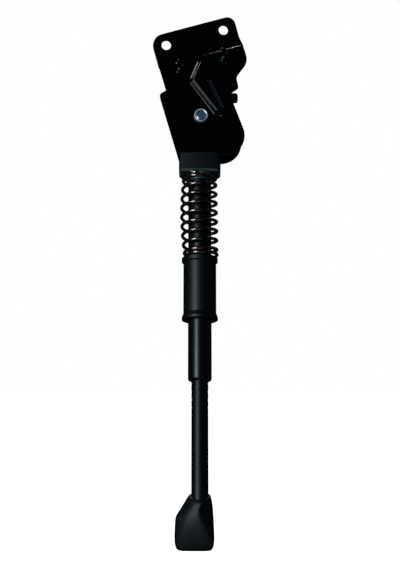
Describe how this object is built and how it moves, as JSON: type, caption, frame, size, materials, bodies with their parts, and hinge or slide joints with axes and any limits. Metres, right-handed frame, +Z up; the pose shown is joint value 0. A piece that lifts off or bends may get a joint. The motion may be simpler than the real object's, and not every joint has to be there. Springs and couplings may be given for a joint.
{
  "type": "bicycle kickstand",
  "caption": "Side kickstand for a bicycle: a folded bracket with a bolt-on plate carries a sprung leg that swings up, with an adjustable rod and a rubber foot.",
  "frame": {"origin": "midway between the two bolt holes, on the mounting face that meets the bicycle's frame", "axes": "+Y out of the mounting face towards the bicycle, +Z up with the leg down, +X to the right seen from the leg's side"},
  "size_m": [0.0631, 0.0934, 0.3467],
  "materials": {
    "gloss_black_paint": "gloss black paint on pressed steel",
    "zinc_plate": "bright bluish zinc plating",
    "satin_black_paint": "satin black powder coat",
    "matt_black_coat": "matt black coat",
    "spring_black": "black coat on spring wire",
    "black_oxide": "black oxide on steel",
    "foot_rubber": "matt black rubber"
  },
  "bodies": {
    "bracket": {"mount_bracket": "gloss_black_paint", "pivot_rivet": "zinc_plate"},
    "leg": {"leg_head": "satin_black_paint", "leg_tube": "satin_black_paint", "spring_sleeve": "satin_black_paint", "lock_screw": "black_oxide", "coil_spring": "spring_black"},
    "slider": {"slider_block": "matt_black_coat"},
    "rod": {"leg_rod": "satin_black_paint", "rubber_foot": "foot_rubber"}
  },
  "joints": [
    {"name": "leg_fold", "type": "hinge", "parent": "bracket", "child": "leg", "pos_m": [0.00395, -0.00601, -0.05614], "axis": [-0.0692, -0.9659, 0.2494], "range_deg": [0, 110]},
    {"name": "slider_slide", "type": "slide", "parent": "leg", "child": "slider", "axis": [-0.0175, -0.2488, -0.9684], "range_m": [0, 0.007], "stiffness_N_per_m": 1700, "springref_m": -0.012, "deforming": ["coil_spring"]},
    {"name": "rod_slide", "type": "slide", "parent": "leg", "child": "rod", "axis": [-0.0175, -0.2488, -0.9684], "range_m": [-0.0204, 0.0255]}
  ]
}
